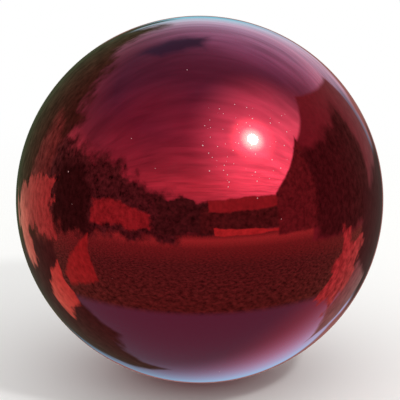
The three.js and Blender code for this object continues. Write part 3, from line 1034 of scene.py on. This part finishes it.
def glowingDome(name, radius, material, *pieces):
    # a dome round the set whose light reaches only the reflections of the given pieces
    size = studioSizes
    dome = bmesh.new()
    bmesh.ops.create_uvsphere(
        dome, u_segments=size["surroundColumns"], v_segments=size["surroundRows"], radius=radius
    )
    bmesh.ops.reverse_faces(dome, faces=dome.faces)
    mesh = meshOf(name, dome)
    material.cycles.emission_sampling = "NONE"
    mesh.materials.append(material)
    item = addObject(name, mesh)
    item.location = ballCentre
    for sight in ("camera", "diffuse", "transmission", "volume_scatter", "shadow"):
        setattr(item, "visible_" + sight, False)
    lit = bpy.data.collections.new(name + "_lights")
    for piece in pieces:
        lit.objects.link(piece)
    item.light_linking.receiver_collection = lit


def plainSurround():
    # the fitting's steel and rubber mirror an even pale studio, and other rays pass through
    material, tree = emptyMaterial("plain_studio_surround")
    pale = addNode(tree, "ShaderNodeEmission", {"Color": hexToLinear(studioSizes["plainTone"])})
    clear = addNode(tree, "ShaderNodeBsdfTransparent")
    surface = addNode(tree, "ShaderNodeAddShader", {0: pale, 1: clear})
    addNode(tree, "ShaderNodeOutputMaterial", {"Surface": surface})
    glowingDome(
        "studio_plain_surround", studioSizes["plainRadius"], material,
        bush, foot, gasket, plug, washer, *carriedOver,
    )


def softSurround():
    size = studioSizes
    soft = surroundSizes
    material, tree = emptyMaterial("soft_studio_surround")
    place = addNode(tree, "ShaderNodeTexCoord").outputs["Object"]
    way = addNode(tree, "ShaderNodeVectorMath", {0: place}, operation="NORMALIZE")
    part = addNode(tree, "ShaderNodeSeparateXYZ", {0: way}).outputs
    rise = addNode(tree, "ShaderNodeMath", {0: part[2]}, operation="ARCSINE")
    elevation = addNode(tree, "ShaderNodeMath", {0: rise}, operation="DEGREES")
    forward = addNode(tree, "ShaderNodeMath", {0: part[1], 1: -1}, operation="MULTIPLY")
    bearing = addNode(tree, "ShaderNodeMath", {0: part[0], 1: forward}, operation="ARCTAN2")
    azimuth = addNode(tree, "ShaderNodeMath", {0: bearing}, operation="DEGREES")

    # the upper side: its tones, the glows, and long faint streaks as on a brushed ceiling
    upper = withGlows(tree, way, toneRamp(tree, elevation, upperTones), surroundGlows.values())
    ceiling = onLevelPlane(tree, part, soft["ceilingFrom"], "MAXIMUM")
    stretched = addNode(tree, "ShaderNodeMapping", {
        "Vector": ceiling, "Scale": soft["streakScale"], "Rotation": soft["streakTurn"],
    })
    streaks = addNode(tree, "ShaderNodeTexNoise", {"Vector": stretched, **soft["streakNoise"]})
    streak = addNode(tree, "ShaderNodeMapRange", {
        "Value": streaks, **noiseSpan,
        "To Min": 1 - soft["streakDepth"], "To Max": 1 + soft["streakDepth"],
    })
    upper = addNode(tree, "ShaderNodeVectorMath", {0: upper, 3: streak}, operation="SCALE")

    # the lower side, mottled as a level cloth would be
    cloth = onLevelPlane(tree, part, -soft["clothFrom"], "MINIMUM")
    mottle = addNode(tree, "ShaderNodeTexNoise", {"Vector": cloth, **soft["mottleNoise"]})
    mottling = addNode(tree, "ShaderNodeMapRange", {
        "Value": mottle, **noiseSpan,
        "To Min": 1 - soft["mottleDepth"], "To Max": 1 + soft["mottleDepth"],
    })
    lower = addNode(tree, "ShaderNodeVectorMath", {
        0: toneRamp(tree, elevation, lowerTones), 3: mottling,
    }, operation="SCALE")
    below = addNode(tree, "ShaderNodeMapRange", {
        "Value": elevation, "From Min": soft["lowerFrom"], "From Max": soft["lowerTo"],
    }, **smoothStep)
    toned = addNode(tree, "ShaderNodeMix", {0: below, 6: upper, 7: lower}, data_type="RGBA")

    # a round bluish card under the ball, lit at its far side
    fromLow = anglesFrom(tree, way, towards(*soft["lowWay"]))
    onLow = addNode(tree, "ShaderNodeMapRange", {
        "Value": fromLow, "From Min": soft["lowReach"] + soft["lowSoft"],
        "From Max": soft["lowReach"] - soft["lowSoft"],
    }, **smoothStep)
    lowCard = addNode(tree, "ShaderNodeCombineXYZ", dict(enumerate(hexToLinear(soft["lowTone"])[:3])))
    lowCard = withGlows(tree, way, lowCard, lowGlows.values())
    toned = addNode(tree, "ShaderNodeMix", {0: onLow, 6: toned, 7: lowCard}, data_type="RGBA")

    # the flags and cards, each a soft-edged patch by azimuth and elevation
    edgeNoise = addNode(tree, "ShaderNodeTexNoise", {"Vector": way, **soft["raggedNoise"]})
    wander = addNode(tree, "ShaderNodeMath", {0: edgeNoise, 1: noiseMiddle}, operation="SUBTRACT")
    weave = addNode(tree, "ShaderNodeTexNoise", {"Vector": way, **soft["weaveNoise"]})
    uneven = addNode(tree, "ShaderNodeMapRange", {"Value": weave, **noiseSpan, "To Min": -1, "To Max": 1})
    for middle, halfWidth, bottom, top, slope, fall, soften, ragged, mottled, shade in studioCards.values():
        turned = addNode(tree, "ShaderNodeMath", {0: azimuth, 1: middle}, operation="SUBTRACT")
        aside = addNode(tree, "ShaderNodeMath", {0: turned, 1: -180, 2: 180}, operation="WRAP")
        away = addNode(tree, "ShaderNodeMath", {0: aside}, operation="ABSOLUTE")
        across = addNode(tree, "ShaderNodeMath", {0: away, 1: halfWidth}, operation="SUBTRACT")
        sloped = addNode(tree, "ShaderNodeMath", {0: aside, 1: slope, 2: top}, operation="MULTIPLY_ADD")
        topEdge = addNode(tree, "ShaderNodeMath", {0: away, 1: -fall, 2: sloped}, operation="MULTIPLY_ADD")
        over = addNode(tree, "ShaderNodeMath", {0: elevation, 1: topEdge}, operation="SUBTRACT")
        under = addNode(tree, "ShaderNodeMath", {0: bottom, 1: elevation}, operation="SUBTRACT")
        upright = addNode(tree, "ShaderNodeMath", {0: over, 1: under}, operation="MAXIMUM")
        outside = addNode(tree, "ShaderNodeMath", {0: across, 1: upright}, operation="MAXIMUM")
        edge = addNode(tree, "ShaderNodeMath", {
            0: wander, 1: 2 * ragged, 2: outside,
        }, operation="MULTIPLY_ADD")
        inside = addNode(tree, "ShaderNodeMapRange", {
            "Value": edge, "From Min": soften, "From Max": 0,
        }, **smoothStep)
        cloth = addNode(tree, "ShaderNodeMath", {0: uneven, 1: mottled, 2: 1}, operation="MULTIPLY_ADD")
        tone = addNode(tree, "ShaderNodeVectorMath", {
            0: hexToLinear(shade)[:3], 3: cloth,
        }, operation="SCALE")
        toned = addNode(tree, "ShaderNodeMix", {0: inside, 6: toned, 7: tone}, data_type="RGBA")

    # the haze of light round the key lamp
    toned = withGlows(tree, way, toned, [(*size["keyWay"], *halo) for halo in keyHalos])
    surface = addNode(tree, "ShaderNodeEmission", {"Color": toned})
    addNode(tree, "ShaderNodeOutputMaterial", {"Surface": surface})
    glowingDome("studio_surround", size["surroundRadius"], material, *ballPieces)


def studioLight():
    # an even white world that also backs the floor, and one round key lamp at the front right
    size = studioSizes
    world = bpy.data.worlds.new("studio_world")
    scene.world = world
    world.use_nodes = True
    tree = world.node_tree
    tree.nodes.clear()
    rays = addNode(tree, "ShaderNodeLightPath").outputs
    seen = rays["Is Camera Ray"]
    for kind in ("Is Glossy Ray", "Is Transmission Ray"):
        seen = addNode(tree, "ShaderNodeMath", {0: seen, 1: rays[kind]}, operation="MAXIMUM")
    strength = addNode(tree, "ShaderNodeMapRange", {
        "Value": seen, "To Min": size["worldLight"], "To Max": 1,
    })
    light = addNode(tree, "ShaderNodeBackground", {
        "Color": hexToLinear(size["white"]), "Strength": strength,
    })
    addNode(tree, "ShaderNodeOutputWorld", {"Surface": light})

    lamp = bpy.data.lights.new("key_lamp", "AREA")
    lamp.shape = "DISK"
    lamp.size = 2 * size["keyRadius"]
    lamp.energy = size["keyPower"]
    aimedAtBall("key_lamp", lamp, *size["keyWay"], size["keyDistance"]).visible_camera = False


whiteFloor()
plainSurround()
softSurround()
studioLight()
print("studio ready")


# Camera

cameraSizes = {
    "elevation": 15,
    "distance": 1.1,
    "lens": 142.3,
    "shiftX": 0.001,
    "shiftY": -0.00125,
}


def photoCamera():
    size = cameraSizes
    camera = bpy.data.cameras.new("photo_camera")
    camera.lens = size["lens"]
    camera.shift_x = size["shiftX"]
    camera.shift_y = size["shiftY"]
    scene.camera = aimedAtBall("photo_camera", camera, 0, size["elevation"], size["distance"])


photoCamera()
scene.view_settings.view_transform = "Standard"

print("camera and sizes ready")
